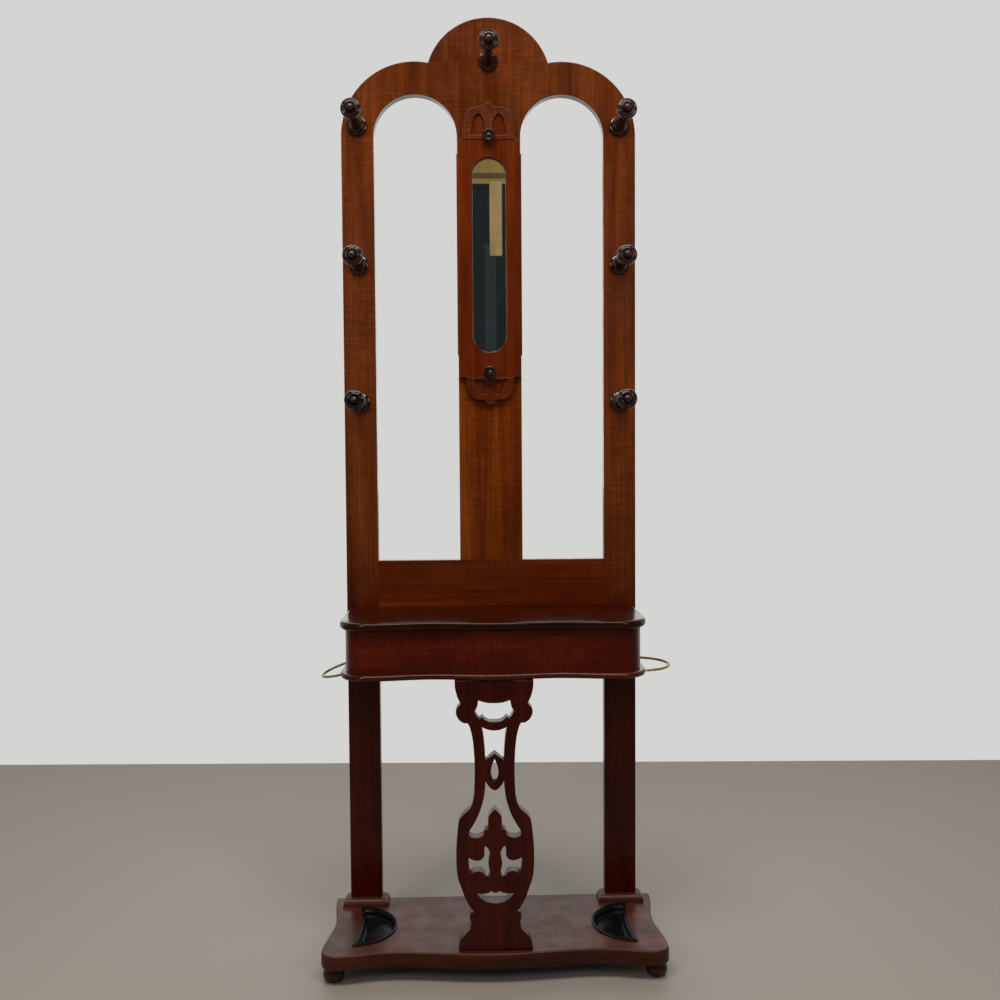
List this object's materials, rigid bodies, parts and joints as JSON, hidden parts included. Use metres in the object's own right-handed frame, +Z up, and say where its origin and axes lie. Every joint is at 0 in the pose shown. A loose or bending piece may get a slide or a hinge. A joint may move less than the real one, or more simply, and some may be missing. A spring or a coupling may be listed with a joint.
{
  "type": "hall stand",
  "caption": "Tall arched wooden hall stand with turned coat pegs, a narrow mirror, a shallow serpentine table, stick rings and a base with drip trays.",
  "frame": {"origin": "on the floor, under the middle of the stand's bounding box", "axes": "+Z up, -Y towards the person at the front, +X to their right"},
  "size_m": [0.7363, 0.274, 2.015],
  "materials": {
    "back_mahogany": "french polished, figured",
    "dark_mahogany": "french polished, deep red",
    "worn_mahogany": "worn satin polish",
    "turned_wood": "dark polished turnings",
    "mirror": "aged silvered glass",
    "backboard_wood": "unpolished",
    "softwood": "unfinished",
    "screw_brass": "dull",
    "ring_brass": "aged brass",
    "black_iron": "black japanned"
  },
  "bodies": {
    "stand": {"crest_lobe": "back_mahogany", "arch_rail": "back_mahogany", "left_stile": "back_mahogany", "right_stile": "back_mahogany", "centre_splat": "back_mahogany", "lower_rail": "back_mahogany", "mirror_frame": "dark_mahogany", "mirror_glass": "mirror", "mirror_backboard": "backboard_wood", "mirror_wedges": "softwood", "backboard_screws": "screw_brass", "upper_frame_knob": "turned_wood", "lower_frame_knob": "turned_wood", "crest_peg": "turned_wood", "left_upper_peg": "turned_wood", "left_middle_peg": "turned_wood", "left_lower_peg": "turned_wood", "right_upper_peg": "turned_wood", "right_middle_peg": "turned_wood", "right_lower_peg": "turned_wood", "table_top": "worn_mahogany", "frieze_front": "dark_mahogany", "left_frieze_corner": "dark_mahogany", "right_frieze_corner": "dark_mahogany", "left_frieze_side": "dark_mahogany", "right_frieze_side": "dark_mahogany", "frieze_floor": "dark_mahogany", "glue_blocks": "softwood", "table_screws": "screw_brass", "left_stick_ring": "ring_brass", "right_stick_ring": "ring_brass", "fret_support": "dark_mahogany", "fret_dowels": "softwood", "base_board": "worn_mahogany", "left_plinth": "worn_mahogany", "right_plinth": "worn_mahogany", "front_left_foot": "turned_wood", "front_right_foot": "turned_wood", "rear_left_foot": "turned_wood", "rear_right_foot": "turned_wood"},
    "left_tray": {"left_drip_tray": "black_iron"},
    "right_tray": {"right_drip_tray": "black_iron"}
  },
  "joints": [
    {"name": "left_tray_lift", "type": "slide", "parent": "stand", "child": "left_tray", "axis": [0, 0, 1], "range_m": [0, 0.12]},
    {"name": "right_tray_lift", "type": "slide", "parent": "stand", "child": "right_tray", "axis": [0, 0, 1], "range_m": [0, 0.12]}
  ]
}
